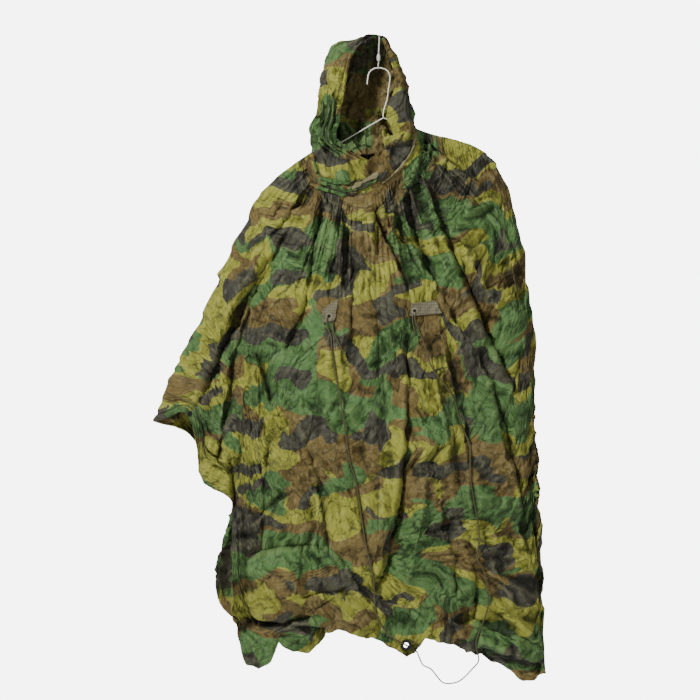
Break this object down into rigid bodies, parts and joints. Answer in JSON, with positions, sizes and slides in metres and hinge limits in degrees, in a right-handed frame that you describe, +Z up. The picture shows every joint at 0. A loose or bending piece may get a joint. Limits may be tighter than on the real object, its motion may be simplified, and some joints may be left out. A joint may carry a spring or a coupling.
{
  "type": "hooded rain poncho on a wire hanger",
  "caption": "Hooded woodland-camouflage nylon rain poncho with waist drawcords, snaps and a hem grommet, hanging on a white wire hanger from a short string.",
  "frame": {"origin": "top of the white string at the hood's peak, where the poncho is hung up", "axes": "+Z up, the face opening and the front sheet face -Y, +X is the garment's right as seen from the front"},
  "size_m": [0.9419, 0.239, 1.5707],
  "materials": {
    "camo_cloth": "thin crinkled ripstop nylon in a woodland pattern of light green, green, brown and black, slight sheen",
    "seam_tape": "flat tan seam tape, matte",
    "olive_webbing": "faded olive woven patch, matte",
    "olive_cord": "thin olive braided cord, matte",
    "black_metal": "blackened metal, half gloss",
    "white_wire": "cream white coated wire, half gloss",
    "white_string": "soft white cotton string, matte"
  },
  "bodies": {
    "root": {"body_front": "camo_cloth", "body_back": "camo_cloth", "hood_left": "camo_cloth", "hood_right": "camo_cloth", "throat_flap": "camo_cloth", "throat_tape": "seam_tape", "collar_tape": "seam_tape", "waist_tab_left": "olive_webbing", "waist_tab_right": "olive_webbing", "waist_cord": "olive_cord", "waist_cord_short": "olive_cord", "waist_cord_stub": "olive_cord", "snap_cuff_left": "black_metal", "snap_side_left": "black_metal", "hem_grommet": "black_metal", "hanger_frame": "white_wire", "hanger_hook": "white_wire", "string_loop": "white_string", "string_lower": "white_string", "string_knot": "white_string", "string_upper": "white_string"}
  },
  "joints": []
}
